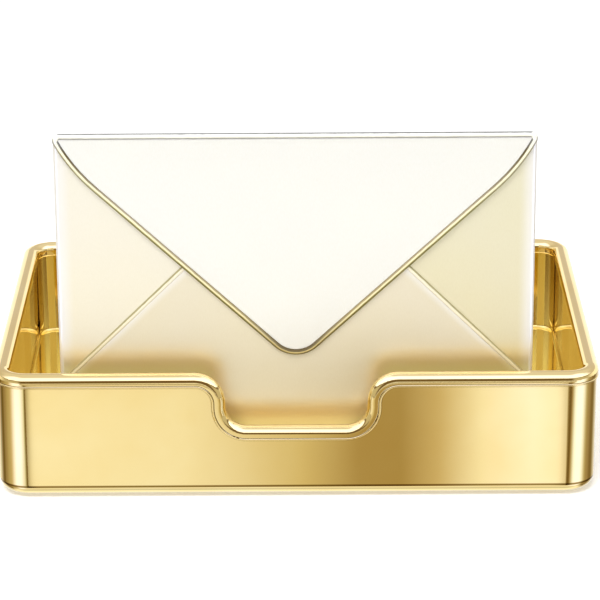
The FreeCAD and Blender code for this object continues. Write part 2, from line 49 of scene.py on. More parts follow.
# ---- Outer skin
# Brass sheet wrapped round the tray's walls and rolled under at the foot, polished and gilded, with a
# fine brushed grain left along its sides and a painted dark reflection line where the foot starts to roll.
GILT = (0.985, 0.80, 0.385, 1.0)
GILT_DEEP = (0.95, 0.73, 0.30, 1.0)
GILT_CLOUDS = 22.0
GILT_SMUDGES = 75.0
BEST_POLISH, WORST_POLISH = 0.85, 1.25
# Dark of the creases, found by occlusion: partly antique wax, partly painted shade.
CREASE_WAX_AND_SHADE = (0.16, 0.10, 0.03, 1.0)
CREASE_SHADE_REACH = 0.0012
CREASE_SHADE_RAYS = 8
SKIN_ROUGHNESS = 0.07
SKIN_GRAIN = (90.0, 90.0, 2200.0)
SKIN_GRAIN_DEPTH = 0.0000003
# A dark line painted round the foot where it starts to roll, as a painted reflection.
FOOT_PAINTED_REFLECTION = (0.28, 0.17, 0.035, 1.0)
FOOT_REFLECTION_Z = 0.0066
FOOT_REFLECTION_HALF = 0.00055
FOOT_REFLECTION_SOFT = 0.0002
SHARP_EDGE = math.radians(32.0)
WELD_GAP = 0.000002


def rounding_group():
    """Geometry nodes that weld a solid's loose triangles and shade its round stretches smooth."""
    group = bpy.data.node_groups.new("round_shading", "GeometryNodeTree")
    group.interface.new_socket("Geometry", in_out="INPUT", socket_type="NodeSocketGeometry")
    group.interface.new_socket("Geometry", in_out="OUTPUT", socket_type="NodeSocketGeometry")
    start = group.nodes.new("NodeGroupInput")
    end = group.nodes.new("NodeGroupOutput")
    weld = group.nodes.new("GeometryNodeMergeByDistance")
    weld.inputs["Distance"].default_value = WELD_GAP
    faces = group.nodes.new("GeometryNodeSetShadeSmooth")
    faces.domain = "FACE"
    edges = group.nodes.new("GeometryNodeSetShadeSmooth")
    edges.domain = "EDGE"
    edges.inputs["Shade Smooth"].default_value = False
    angle = group.nodes.new("GeometryNodeInputMeshEdgeAngle")
    sharp = group.nodes.new("FunctionNodeCompare")
    sharp.operation = "GREATER_THAN"
    sharp.inputs[1].default_value = SHARP_EDGE
    group.links.new(start.outputs[0], weld.inputs["Geometry"])
    group.links.new(weld.outputs[0], faces.inputs["Geometry"])
    group.links.new(faces.outputs[0], edges.inputs["Geometry"])
    group.links.new(angle.outputs["Unsigned Angle"], sharp.inputs[0])
    group.links.new(sharp.outputs[0], edges.inputs["Selection"])
    group.links.new(edges.outputs[0], end.inputs[0])
    return group


rounding = rounding_group()


def dress(node, material):
    """Gives a carried-over solid its finish, smooth on its round stretches and flat on its flat ones."""
    solid = nodes[node]
    solid.data.materials.clear()
    solid.data.materials.append(material)
    shade = solid.modifiers.new("round_shading", "NODES")
    shade.node_group = rounding
    weigh = solid.modifiers.new("flat_faces_stay_flat", "WEIGHTED_NORMAL")
    weigh.keep_sharp = True


def new_finish(name):
    """A new material with its node tree, its shader and the place on the solid, in metres."""
    material = bpy.data.materials.new(name)
    material.use_nodes = True
    tree = material.node_tree
    place = tree.nodes.new("ShaderNodeTexCoord").outputs["Object"]
    return material, tree, tree.nodes["Principled BSDF"], place


def feed(tree, socket, value):
    """Fills a socket from another socket or with a plain value."""
    if isinstance(value, bpy.types.NodeSocket):
        tree.links.new(value, socket)
    else:
        socket.default_value = value


def mottle(tree, place, scale, detail, stretch=(1.0, 1.0, 1.0)):
    """Soft noise from 0 to 1: scale is its features per metre, and stretch multiplies that by axis."""
    mapping = tree.nodes.new("ShaderNodeMapping")
    mapping.inputs["Scale"].default_value = stretch
    noise = tree.nodes.new("ShaderNodeTexNoise")
    noise.inputs["Scale"].default_value = scale
    noise.inputs["Detail"].default_value = detail
    tree.links.new(place, mapping.inputs["Vector"])
    tree.links.new(mapping.outputs["Vector"], noise.inputs["Vector"])
    return noise.outputs["Fac"]


def between(tree, value, low, high, to_low=0.0, to_high=1.0, smooth=False):
    """A value's place between low and high, clamped, as a number from to_low to to_high."""
    remap = tree.nodes.new("ShaderNodeMapRange")
    remap.interpolation_type = "SMOOTHSTEP" if smooth else "LINEAR"
    tree.links.new(value, remap.inputs["Value"])
    remap.inputs["From Min"].default_value = low
    remap.inputs["From Max"].default_value = high
    remap.inputs["To Min"].default_value = to_low
    remap.inputs["To Max"].default_value = to_high
    return remap.outputs["Result"]


def blend_colors(tree, share, first, second):
    """The first colour where the share is 0 and the second where it is 1, each a socket or a value."""
    mix = tree.nodes.new("ShaderNodeMix")
    mix.data_type = "RGBA"
    feed(tree, mix.inputs["Factor"], share)
    feed(tree, mix.inputs["A"], first)
    feed(tree, mix.inputs["B"], second)
    return mix.outputs["Result"]


def lay_over(tree, socket, share, color):
    """Blends a colour over what already feeds a shader's socket, by a share from 0 to 1."""
    under = socket.links[0].from_socket
    tree.links.new(blend_colors(tree, share, under, color), socket)


def parts_of(tree, vector):
    """The X, Y and Z of a place or a direction."""
    split = tree.nodes.new("ShaderNodeSeparateXYZ")
    tree.links.new(vector, split.inputs[0])
    return split.outputs


def reckon(tree, operation, first, second=0.0, third=0.0):
    """One step of arithmetic on sockets or numbers."""
    step = tree.nodes.new("ShaderNodeMath")
    step.operation = operation
    for socket, value in zip(step.inputs, (first, second, third)):
        feed(tree, socket, value)
    return step.outputs[0]


def relief(tree, shader, height, depth):
    """Raises a shader's surface by a height from 0 to 1, times a depth in metres."""
    bump = tree.nodes.new("ShaderNodeBump")
    bump.inputs["Distance"].default_value = depth
    tree.links.new(height, bump.inputs["Height"])
    tree.links.new(bump.outputs["Normal"], shader.inputs["Normal"])


def gilt_finish(name, bright, deep, roughness, grain, grain_depth, crease_shade_share=0.9):
    """Gilded metal: cloudy colour, smudged polish, a fine grain, and wax and painted shade in the creases."""
    material, tree, shader, place = new_finish(name)
    shader.inputs["Metallic"].default_value = 1.0
    clouds = between(tree, mottle(tree, place, GILT_CLOUDS, detail=3.0), low=0.35, high=0.75)
    tree.links.new(blend_colors(tree, clouds, bright, deep), shader.inputs["Base Color"])
    # Occlusion darkens the creases: partly antique wax, partly painted shade.
    crease = tree.nodes.new("ShaderNodeAmbientOcclusion")
    crease.samples = CREASE_SHADE_RAYS
    crease.inputs["Distance"].default_value = CREASE_SHADE_REACH
    crease_wax_and_shade = between(tree, crease.outputs["AO"], low=0.5, high=0.9, to_low=crease_shade_share, to_high=0.0, smooth=True)
    lay_over(tree, shader.inputs["Base Color"], crease_wax_and_shade, CREASE_WAX_AND_SHADE)
    smudges = mottle(tree, place, GILT_SMUDGES, detail=4.0)
    polish = between(tree, smudges, low=0.3, high=0.7,
                     to_low=roughness * BEST_POLISH, to_high=roughness * WORST_POLISH)
    tree.links.new(polish, shader.inputs["Roughness"])
    relief(tree, shader, mottle(tree, place, scale=1.0, detail=3.0, stretch=grain), grain_depth)
    return material, tree, shader, place


satin_gilt, tree, shader, place = gilt_finish("satin_gilt", GILT, GILT_DEEP, SKIN_ROUGHNESS, SKIN_GRAIN,
                                              SKIN_GRAIN_DEPTH)
# Painted reflection: a dark line round the foot at the start of its roll.
over_line = reckon(tree, "SUBTRACT", parts_of(tree, place)["Z"], FOOT_REFLECTION_Z)
on_painted_reflection = between(tree, reckon(tree, "ABSOLUTE", over_line), FOOT_REFLECTION_HALF + FOOT_REFLECTION_SOFT,
                  FOOT_REFLECTION_HALF - FOOT_REFLECTION_SOFT, smooth=True)
lay_over(tree, shader.inputs["Base Color"], on_painted_reflection, FOOT_PAINTED_REFLECTION)
dress("outer_skin", satin_gilt)

# ---- Rim moulding
# Cast brass moulding round the whole edge: a rounded top, a flat band and a thin lip bead under it.
# It is the brightest polished part, buffed by hand after gilding.
RIM_ROUGHNESS = 0.05
BUFFED_GRAIN = (900.0, 900.0, 900.0)
BUFFED_GRAIN_DEPTH = 0.000001

bright_gilt = gilt_finish("bright_gilt", GILT, GILT_DEEP, RIM_ROUGHNESS, BUFFED_GRAIN, BUFFED_GRAIN_DEPTH)[0]
dress("rim_moulding", bright_gilt)

# ---- Inner liner
# Deep-drawn brass pan, the tray's floor and the inside of its walls, polished to a mirror.  Its gilt is
# painted deeper than outside as painted shade, and its floor is painted paler as painted light, and duller.
# Deeper gilt than the outside's: painted shade for the inside of the tray.
LINER_SHADED_GILT = (0.89, 0.68, 0.21, 1.0)
LINER_SHADED_GILT_DEEP = (0.81, 0.60, 0.15, 1.0)
LINER_ROUGHNESS = 0.05
LINER_CREASE_SHADE = 0.15
LINER_SHEET = 0.00075
FLOOR_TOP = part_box("base_board")[1][2] + LINER_SHEET
FLOOR_LIT_LOW, FLOOR_LIT_HIGH = 0.0001, 0.0004
# The floor's paler gilt is painted light.
FLOOR_LIT_GILT = (1.0, 0.86, 0.47, 1.0)
FLOOR_ROUGHNESS = (0.09, 0.09, 0.09, 1.0)

mirror_gilt, tree, shader, place = gilt_finish("mirror_gilt", LINER_SHADED_GILT, LINER_SHADED_GILT_DEEP, LINER_ROUGHNESS,
                                               BUFFED_GRAIN, BUFFED_GRAIN_DEPTH, LINER_CREASE_SHADE)
on_floor = between(tree, parts_of(tree, place)["Z"], FLOOR_TOP + FLOOR_LIT_HIGH, FLOOR_TOP + FLOOR_LIT_LOW)
lay_over(tree, shader.inputs["Base Color"], on_floor, FLOOR_LIT_GILT)
lay_over(tree, shader.inputs["Roughness"], on_floor, FLOOR_ROUGHNESS)
dress("inner_liner", mirror_gilt)

# ---- Envelope channel
# Low folded channel on the tray's floor that holds the envelope's foot upright, gilded like the liner, in
# its deeper gilt that is painted shade, but left satin.
CHANNEL_ROUGHNESS = 0.3
CHANNEL_METALLIC = 0.6

channel_gilt, tree, shader, place = gilt_finish("channel_gilt", LINER_SHADED_GILT, LINER_SHADED_GILT_DEEP,
                                                CHANNEL_ROUGHNESS, BUFFED_GRAIN, BUFFED_GRAIN_DEPTH,
                                                LINER_CREASE_SHADE)
shader.inputs["Metallic"].default_value = CHANNEL_METALLIC
dress("envelope_channel", channel_gilt)

# ---- Wall boards, corner posts and base board
# Dense brown fibreboard sawn to size and glued up as the tray's hidden carcass: four walls, a post in
# each corner and the board under the floor.
BOARD_BROWN = (0.23, 0.14, 0.07, 1.0)
BOARD_FIBRE = (0.36, 0.24, 0.13, 1.0)
BOARD_FIBRES = 700.0
BOARD_LAYERS = (1.0, 1.0, 3.0)
BOARD_RELIEF = 0.00015

fibreboard, tree, shader, place = new_finish("fibreboard")
fibres = mottle(tree, place, BOARD_FIBRES, detail=6.0, stretch=BOARD_LAYERS)
flecks = between(tree, fibres, low=0.4, high=0.65)
dryness = between(tree, fibres, low=0.3, high=0.7, to_low=0.75, to_high=0.95)
tree.links.new(blend_colors(tree, flecks, BOARD_BROWN, BOARD_FIBRE), shader.inputs["Base Color"])
tree.links.new(dryness, shader.inputs["Roughness"])
relief(tree, shader, fibres, BOARD_RELIEF)
dress("base_board", fibreboard)
for side in ("front", "rear", "left", "right"):
    dress("%s_wall_board" % side, fibreboard)
for end in ("front", "rear"):
    for hand in ("left", "right"):
        dress("corner_post_%s_%s" % (end, hand), fibreboard)

# ---- Base plate and its screws
# Plain rolled brass plate closing the underside, left ungilded and tarnished in patches.  Six slotted
# steel screws with a film of oil hold it to the board.
PLATE_BRASS = (0.72, 0.52, 0.24, 1.0)
PLATE_TARNISH = (0.50, 0.34, 0.14, 1.0)
PLATE_ROLLING = (80.0, 2500.0, 80.0)
PLATE_RELIEF = 0.000004
SCREW_STEEL = (0.56, 0.55, 0.53, 1.0)
SCREW_OIL = (0.34, 0.33, 0.31, 1.0)
SCREW_PITTING = 3500.0
SCREW_RELIEF = 0.00001

rolled_brass, tree, shader, place = new_finish("rolled_brass")
shader.inputs["Metallic"].default_value = 1.0
tarnish = between(tree, mottle(tree, place, scale=30.0, detail=5.0), low=0.45, high=0.7)
dulled = between(tree, mottle(tree, place, scale=45.0, detail=3.0), low=0.3, high=0.7,
                 to_low=0.28, to_high=0.45)
tree.links.new(blend_colors(tree, tarnish, PLATE_BRASS, PLATE_TARNISH), shader.inputs["Base Color"])
tree.links.new(dulled, shader.inputs["Roughness"])
relief(tree, shader, mottle(tree, place, scale=1.0, detail=3.0, stretch=PLATE_ROLLING), PLATE_RELIEF)
dress("base_plate", rolled_brass)

screw_steel, tree, shader, place = new_finish("screw_steel")
shader.inputs["Metallic"].default_value = 1.0
oil = between(tree, mottle(tree, place, scale=900.0, detail=3.0), low=0.4, high=0.7)
dulled = between(tree, oil, low=0.0, high=1.0, to_low=0.28, to_high=0.4)
tree.links.new(blend_colors(tree, oil, SCREW_STEEL, SCREW_OIL), shader.inputs["Base Color"])
tree.links.new(dulled, shader.inputs["Roughness"])
relief(tree, shader, mottle(tree, place, SCREW_PITTING, detail=2.0), SCREW_RELIEF)
dress("base_screws", screw_steel)

# ---- Foot pads
# Four discs of dark pressed wool felt, glued under the tray near its corners so that it doesn't scratch
# the desk.
FELT_DARK = (0.055, 0.042, 0.032, 1.0)
FELT_FIBRE = (0.16, 0.13, 0.10, 1.0)
FELT_ROUGHNESS = 1.0
FELT_SHEEN = 0.4
FELT_WOOL = 1800.0
FELT_RELIEF = 0.0003

felt, tree, shader, place = new_finish("felt")
shader.inputs["Roughness"].default_value = FELT_ROUGHNESS
shader.inputs["Sheen Weight"].default_value = FELT_SHEEN
wool = mottle(tree, place, FELT_WOOL, detail=5.0)
strands = between(tree, wool, low=0.45, high=0.7)
tree.links.new(blend_colors(tree, strands, FELT_DARK, FELT_FIBRE), shader.inputs["Base Color"])
relief(tree, shader, wool, FELT_RELIEF)
for end in ("front", "rear"):
    for hand in ("left", "right"):
        dress("foot_pad_%s_%s" % (end, hand), felt)

# ---- Envelope pocket and its folded flaps
# Heavy pearl-coated paper cut from one sheet: a back panel, two side flaps folded in and a bottom flap
# folded up over them.  Painted shade and gold reflection darken each piece towards its foot and the right
# and bottom flaps all over; painted highlights run along the side folds and beside the seams; and the foot
# behind the tray's front has more pearl and a painted shade and reflection of the tray's front.
POCKET_HALF_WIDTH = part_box("envelope_pocket")[1][0]
POCKET_TONE_HIGH, POCKET_TONE_LOW = 0.177, 0.03
# Low colours are painted shade and gold reflection; right and bottom flaps are painted darker as shade.
BACK_HIGH, BACK_SHADED_LOW = (0.98, 0.95, 0.86, 1.0), (0.95, 0.90, 0.76, 1.0)
LEFT_HIGH, LEFT_SHADED_LOW = (0.99, 0.95, 0.80, 1.0), (0.96, 0.88, 0.66, 1.0)
RIGHT_SHADED_HIGH, RIGHT_SHADED_LOW = (0.885, 0.845, 0.61, 1.0), (0.88, 0.785, 0.49, 1.0)
BOTTOM_SHADED_HIGH, BOTTOM_SHADED_LOW = (0.94, 0.87, 0.68, 1.0), (0.88, 0.79, 0.56, 1.0)
PAPER_PEARL = 0.6
PAPER_SMOOTH, PAPER_ROUGH = 0.30, 0.36
PAPER_CLOUDS = 25.0
CLOUD_SHARE = 0.12
PAPER_FIBRES = 1600.0
PAPER_GRAIN = (1.0, 1.0, 0.35)
PAPER_RELIEF = 0.000006
FIBRE_TINT = (0.93, 0.91, 0.86, 1.0)
FIBRE_SHARE = 0.25
# Pale of random patches and of the painted highlight along the side folds.
PALE_PATCH_AND_FOLD_HIGHLIGHT = (1.0, 0.985, 0.93, 1.0)
FOLD_HIGHLIGHT_SHARE = 0.9
FOLD_HIGHLIGHT_START, FOLD_HIGHLIGHT_END = 0.001, 0.0085
# The foot's painted shade and reflection of the tray's front, on more pearly paper, reaches up to the
# rim, and less far behind the finger notch.
FOOT_SHADE_AND_REFLECTION = (0.70, 0.60, 0.30, 1.0)
FOOT_SHADE_SHARE = 0.16
FOOT_PEARL = 0.85
FOOT_SHADE_RIM_HIGH, FOOT_SHADE_RIM_LOW = 0.0715, 0.0615
FOOT_SHADE_NOTCH_HIGH, FOOT_SHADE_NOTCH_LOW = 0.0465, 0.0395
FOOT_SHADE_NOTCH_IN, FOOT_SHADE_NOTCH_OUT = 0.031, 0.043
SEAM_FOOT = 0.0395
SEAM_FOOT_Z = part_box("envelope_pocket")[0][2] + SEAM_FOOT
SEAM_SLOPE = math.radians(44.5)
# A painted highlight on the bottom flap beside each seam.
SEAM_PAINTED_HIGHLIGHT = (1.0, 0.98, 0.91, 1.0)
SEAM_HIGHLIGHT_SHARE = 0.9
SEAM_HIGHLIGHT_START, SEAM_HIGHLIGHT_END = 0.0022, 0.0075


def pearl_paper(name, high, low, high_z, low_z, foot_shade_share=0.0):
    """Pearl-coated paper of one colour at high_z and another, painted shade, at low_z, with a painted
    highlight along its side folds.  Given a share of foot shade, its foot has more pearl and takes that share
    of painted shade and reflection where the tray's front stands before it."""
    material, tree, shader, place = new_finish(name)
    shader.inputs["Metallic"].default_value = PAPER_PEARL
    spot = parts_of(tree, place)
    from_middle = reckon(tree, "ABSOLUTE", spot["X"])
    fibres = mottle(tree, place, PAPER_FIBRES, detail=4.0, stretch=PAPER_GRAIN)
    clouds = mottle(tree, place, PAPER_CLOUDS, detail=2.0)
    shade = blend_colors(tree, between(tree, spot["Z"], low_z, high_z, smooth=True), low, high)
    pale = between(tree, clouds, low=0.3, high=0.8, to_low=0.0, to_high=CLOUD_SHARE)
    threads = between(tree, fibres, low=0.35, high=0.7, to_low=0.0, to_high=FIBRE_SHARE)
    tint = tree.nodes.new("ShaderNodeMix")
    tint.data_type = "RGBA"
    tint.blend_type = "MULTIPLY"
    tint.inputs["B"].default_value = FIBRE_TINT
    tree.links.new(threads, tint.inputs["Factor"])
    tree.links.new(blend_colors(tree, pale, shade, PALE_PATCH_AND_FOLD_HIGHLIGHT), tint.inputs["A"])
    tree.links.new(tint.outputs["Result"], shader.inputs["Base Color"])
    if foot_shade_share:
        # Painted shade and gold reflection of the tray's front, shaped by its rim and finger notch.
        beside_notch = between(tree, from_middle, FOOT_SHADE_NOTCH_IN, FOOT_SHADE_NOTCH_OUT, smooth=True)
        under_rim = between(tree, spot["Z"], FOOT_SHADE_RIM_HIGH, FOOT_SHADE_RIM_LOW, smooth=True)
        under_notch = between(tree, spot["Z"], FOOT_SHADE_NOTCH_HIGH, FOOT_SHADE_NOTCH_LOW, smooth=True)
        foot_shade = reckon(tree, "MAXIMUM", reckon(tree, "MULTIPLY", beside_notch, under_rim), under_notch)
        pearl = between(tree, foot_shade, low=0.0, high=1.0, to_low=PAPER_PEARL, to_high=FOOT_PEARL)
        tree.links.new(pearl, shader.inputs["Metallic"])
        lay_over(tree, shader.inputs["Base Color"], reckon(tree, "MULTIPLY", foot_shade, foot_shade_share), FOOT_SHADE_AND_REFLECTION)
    # A painted highlight along the side folds.
    from_fold = reckon(tree, "SUBTRACT", POCKET_HALF_WIDTH, from_middle)
    fold_highlight = between(tree, from_fold, FOLD_HIGHLIGHT_START, FOLD_HIGHLIGHT_END, to_low=FOLD_HIGHLIGHT_SHARE, to_high=0.0,
                     smooth=True)
    lay_over(tree, shader.inputs["Base Color"], fold_highlight, PALE_PATCH_AND_FOLD_HIGHLIGHT)
    handled = between(tree, clouds, low=0.3, high=0.7, to_low=PAPER_SMOOTH, to_high=PAPER_ROUGH)
    tree.links.new(handled, shader.inputs["Roughness"])
    relief(tree, shader, fibres, PAPER_RELIEF)
    return material, tree, shader, place


back_paper = pearl_paper("pearl_paper_back", BACK_HIGH, BACK_SHADED_LOW, POCKET_TONE_HIGH, POCKET_TONE_LOW)[0]
left_paper = pearl_paper("pearl_paper_left", LEFT_HIGH, LEFT_SHADED_LOW, POCKET_TONE_HIGH, POCKET_TONE_LOW,
                         FOOT_SHADE_SHARE)[0]
right_paper = pearl_paper("pearl_paper_right", RIGHT_SHADED_HIGH, RIGHT_SHADED_LOW, POCKET_TONE_HIGH, POCKET_TONE_LOW,
                          FOOT_SHADE_SHARE)[0]
dress("envelope_pocket", back_paper)
dress("left_side_flap", left_paper)
dress("right_side_flap", right_paper)

bottom_paper, tree, shader, place = pearl_paper("pearl_paper_bottom", BOTTOM_SHADED_HIGH, BOTTOM_SHADED_LOW,
                                                POCKET_TONE_HIGH, POCKET_TONE_LOW, FOOT_SHADE_SHARE)
# Painted highlight on the bottom flap beside each seam.
spot = parts_of(tree, place)
from_fold = reckon(tree, "SUBTRACT", POCKET_HALF_WIDTH, reckon(tree, "ABSOLUTE", spot["X"]))
over_foot = reckon(tree, "SUBTRACT", spot["Z"], SEAM_FOOT_Z)
from_seam = reckon(tree, "SUBTRACT", reckon(tree, "MULTIPLY", from_fold, math.sin(SEAM_SLOPE)),
                   reckon(tree, "MULTIPLY", over_foot, math.cos(SEAM_SLOPE)))
seam_highlight = between(tree, from_seam, SEAM_HIGHLIGHT_START, SEAM_HIGHLIGHT_END, to_low=SEAM_HIGHLIGHT_SHARE, to_high=0.0,
                  smooth=True)
lay_over(tree, shader.inputs["Base Color"], seam_highlight, SEAM_PAINTED_HIGHLIGHT)
dress("bottom_flap", bottom_paper)

# ---- Seam piping
# Pale gilt cord glued along the bottom flap's free edge, where it shows as two slanting seams.  Its
# colours, painted highlight and painted shade on its own pale gilt, go round the cord, from its lower side
# at -1 to its upper at 1, at each height in metres.
SEAM_SHADED_TONES = (
    (0.060, ((-1.0, (0.72, 0.60, 0.34)), (-0.60, (0.78, 0.66, 0.40)), (-0.35, (1.0, 0.92, 0.66)),
             (0.15, (0.98, 0.88, 0.58)), (0.45, (0.42, 0.34, 0.13)), (1.0, (0.40, 0.32, 0.12)))),
    (0.090, ((-1.0, (0.80, 0.72, 0.52)), (-0.60, (0.86, 0.78, 0.58)), (-0.35, (0.96, 0.90, 0.72)),
             (0.15, (0.95, 0.88, 0.66)), (0.42, (0.36, 0.32, 0.14)), (1.0, (0.34, 0.30, 0.13)))))
PIPING_METALLIC = 0.35
PIPING_SMOOTH, PIPING_ROUGH = 0.36, 0.44
PIPING_THREADS = 1500.0
PIPING_RELIEF = 0.000008
PIPING_PATCHES = 260.0
PIPING_PATCH_SHIFT = 0.1


def level_ramp(tree, share, stops, low, high):
    """Colour by a share from 0 to 1, from stops of (place, level or colour) at places from low to high."""
    ramp = tree.nodes.new("ShaderNodeValToRGB")
    elements = ramp.color_ramp.elements
    while len(elements) < len(stops):
        elements.new(0.5)
    for element, (at, level) in zip(elements, stops):
        color = level if isinstance(level, tuple) else (level, level, level)
        element.position = (at - low) / (high - low)
        element.color = (*color, 1.0)
    tree.links.new(share, ramp.inputs[0])
    return ramp.outputs["Color"]


def piping_finish(name, slope, outward, tones):
    """Satin gilt on a cord that runs at slope (radians) to both sides of the middle, with painted highlight
    and painted shade by the way its surface turns and by height.  Where outward is 1 the cord's upper side
    faces the tray's sides, and where it is -1 the middle."""
    material, tree, shader, place = new_finish(name)
    shader.inputs["Metallic"].default_value = PIPING_METALLIC
    spot = parts_of(tree, place)
    facing = parts_of(tree, tree.nodes.new("ShaderNodeTexCoord").outputs["Normal"])
    to_side = reckon(tree, "MULTIPLY", facing["X"], reckon(tree, "SIGN", spot["X"]))
    upper = reckon(tree, "ADD", reckon(tree, "MULTIPLY", facing["Z"], math.cos(slope)),
                   reckon(tree, "MULTIPLY", to_side, outward * math.sin(slope)))
    patches = reckon(tree, "MULTIPLY_ADD", mottle(tree, place, PIPING_PATCHES, detail=3.0),
                     2 * PIPING_PATCH_SHIFT, -PIPING_PATCH_SHIFT)
    share = reckon(tree, "MULTIPLY_ADD", reckon(tree, "ADD", upper, patches), 0.5, 0.5)
    reached, stops = tones[0]
    toned = level_ramp(tree, share, stops, -1, 1)
    for upto, stops in tones[1:]:
        climb = between(tree, spot["Z"], reached, upto)
        toned = blend_colors(tree, climb, toned, level_ramp(tree, share, stops, -1, 1))
        reached = upto
    tree.links.new(toned, shader.inputs["Base Color"])
    polish = between(tree, mottle(tree, place, GILT_SMUDGES, detail=4.0), low=0.3, high=0.7,
                     to_low=PIPING_SMOOTH, to_high=PIPING_ROUGH)
    tree.links.new(polish, shader.inputs["Roughness"])
    relief(tree, shader, mottle(tree, place, PIPING_THREADS, detail=3.0), PIPING_RELIEF)
    return material


dress("seam_piping", piping_finish("gilt_seam_piping", SEAM_SLOPE, 1.0, SEAM_SHADED_TONES))

# ---- Closure flap
# The envelope's large pointed flap, cut from a whiter sheet of the same pearl-coated paper.  Its inside
# is left uncoated and a little creamier.
FLAP_HIGH = (1.0, 1.0, 0.93, 1.0)
FLAP_SHADED_LOW = (1.0, 0.985, 0.90, 1.0)
FLAP_TONE_HIGH, FLAP_TONE_LOW = 0.15, 0.068
FLAP_INSIDE = (0.84, 0.78, 0.65, 1.0)
FLAP_INSIDE_PEARL = 0.1

flap_paper, tree, shader, place = pearl_paper("pearl_paper_flap", FLAP_HIGH, FLAP_SHADED_LOW,
                                              FLAP_TONE_HIGH, FLAP_TONE_LOW)
facing = parts_of(tree, tree.nodes.new("ShaderNodeTexCoord").outputs["Normal"])
inside = between(tree, facing["Y"], low=0.3, high=0.7)
pearl = between(tree, inside, low=0.0, high=1.0, to_low=PAPER_PEARL, to_high=FLAP_INSIDE_PEARL)
lay_over(tree, shader.inputs["Base Color"], inside, FLAP_INSIDE)
tree.links.new(pearl, shader.inputs["Metallic"])
dress("closure_flap", flap_paper)

# ---- Flap piping
# Thicker pale gilt cord round the closure flap and along its fold, with painted highlight and shade, its
# flanks painted darker than those of the seams' cord.
FLAP_SLOPE = math.radians(42.8)
FLAP_SHADED_TONES = (
    (0.069, ((-1.0, (0.17, 0.13, 0.03)), (-0.30, (0.20, 0.15, 0.04)), (-0.12, (0.62, 0.48, 0.18)),
             (0.05, (0.66, 0.52, 0.22)), (0.26, (0.09, 0.06, 0.01)), (1.0, (0.08, 0.05, 0.01)))),
    (0.090, ((-1.0, (0.18, 0.15, 0.03)), (-0.18, (0.22, 0.18, 0.04)), (0.02, (0.92, 0.80, 0.42)),
             (0.30, (0.96, 0.85, 0.50)), (0.55, (0.34, 0.27, 0.11)), (1.0, (0.30, 0.23, 0.09)))),
    (0.140, ((-1.0, (0.23, 0.21, 0.06)), (-0.24, (0.27, 0.24, 0.07)), (-0.04, (0.96, 0.88, 0.54)),
             (0.38, (1.0, 0.93, 0.64)), (0.62, (0.36, 0.30, 0.17)), (1.0, (0.32, 0.26, 0.14)))),
    (0.170, ((-1.0, (0.34, 0.29, 0.15)), (-0.42, (0.38, 0.33, 0.17)), (-0.22, (0.96, 0.90, 0.64)),
             (0.30, (1.0, 0.94, 0.70)), (0.48, (0.12, 0.09, 0.025)), (1.0, (0.10, 0.07, 0.02)))),
    (0.1755, ((-1.0, (0.36, 0.35, 0.30)), (-0.40, (0.40, 0.38, 0.32)), (-0.20, (0.95, 0.94, 0.80)),
              (0.40, (0.95, 0.94, 0.80)), (0.60, (0.20, 0.20, 0.18)), (1.0, (0.16, 0.16, 0.14)))))

dress("flap_piping", piping_finish("gilt_flap_piping", FLAP_SLOPE, -1.0, FLAP_SHADED_TONES))

# ---- Letters in the pocket
# Three folded sheets of plain writing paper standing in the pocket, between its back and its flaps.
# They give the envelope its thickness.
LETTER_WHITE = (0.86, 0.85, 0.81, 1.0)
LETTER_GREY = (0.74, 0.73, 0.69, 1.0)
LETTER_ROUGHNESS = 0.85
LETTER_FIBRES = 1500.0
LETTER_RELIEF = 0.00004

letter_paper, tree, shader, place = new_finish("letter_paper")
shader.inputs["Roughness"].default_value = LETTER_ROUGHNESS
fibres = mottle(tree, place, LETTER_FIBRES, detail=4.0)
flecks = between(tree, fibres, low=0.4, high=0.75)
tree.links.new(blend_colors(tree, flecks, LETTER_WHITE, LETTER_GREY), shader.inputs["Base Color"])
relief(tree, shader, fibres, LETTER_RELIEF)
dress("letter_stack", letter_paper)

# ---- Floor
# Plain white studio floor, twelve metres square, that keeps a faint shadow of the tray and doesn't show
# in the metal.
STUDIO_FLOOR_HALF = 6.0
STUDIO_FLOOR_WHITE = (0.9, 0.9, 0.9, 1.0)
STUDIO_FLOOR_GLOW = 0.25


def stand(name, mesh, material):
    """Stands a finished mesh in the studio as an object of its own."""
    data = bpy.data.meshes.new(name)
    mesh.to_mesh(data)
    mesh.free()
    data.materials.append(material)
    piece = bpy.data.objects.new(name, data)
    bpy.context.scene.collection.objects.link(piece)
    return piece


floor_paint, tree, shader, place = new_finish("floor_white")
shader.inputs["Base Color"].default_value = STUDIO_FLOOR_WHITE
shader.inputs["Roughness"].default_value = 1.0
shader.inputs["Specular IOR Level"].default_value = 0.0
shader.inputs["Emission Color"].default_value = (1.0, 1.0, 1.0, 1.0)
rays = tree.nodes.new("ShaderNodeLightPath")
glow = reckon(tree, "MULTIPLY", rays.outputs["Is Camera Ray"], STUDIO_FLOOR_GLOW)
tree.links.new(glow, shader.inputs["Emission Strength"])
floor_mesh = bmesh.new()
bmesh.ops.create_grid(floor_mesh, x_segments=1, y_segments=1, size=STUDIO_FLOOR_HALF)
floor = stand("floor", floor_mesh, floor_paint)
floor.visible_glossy = False

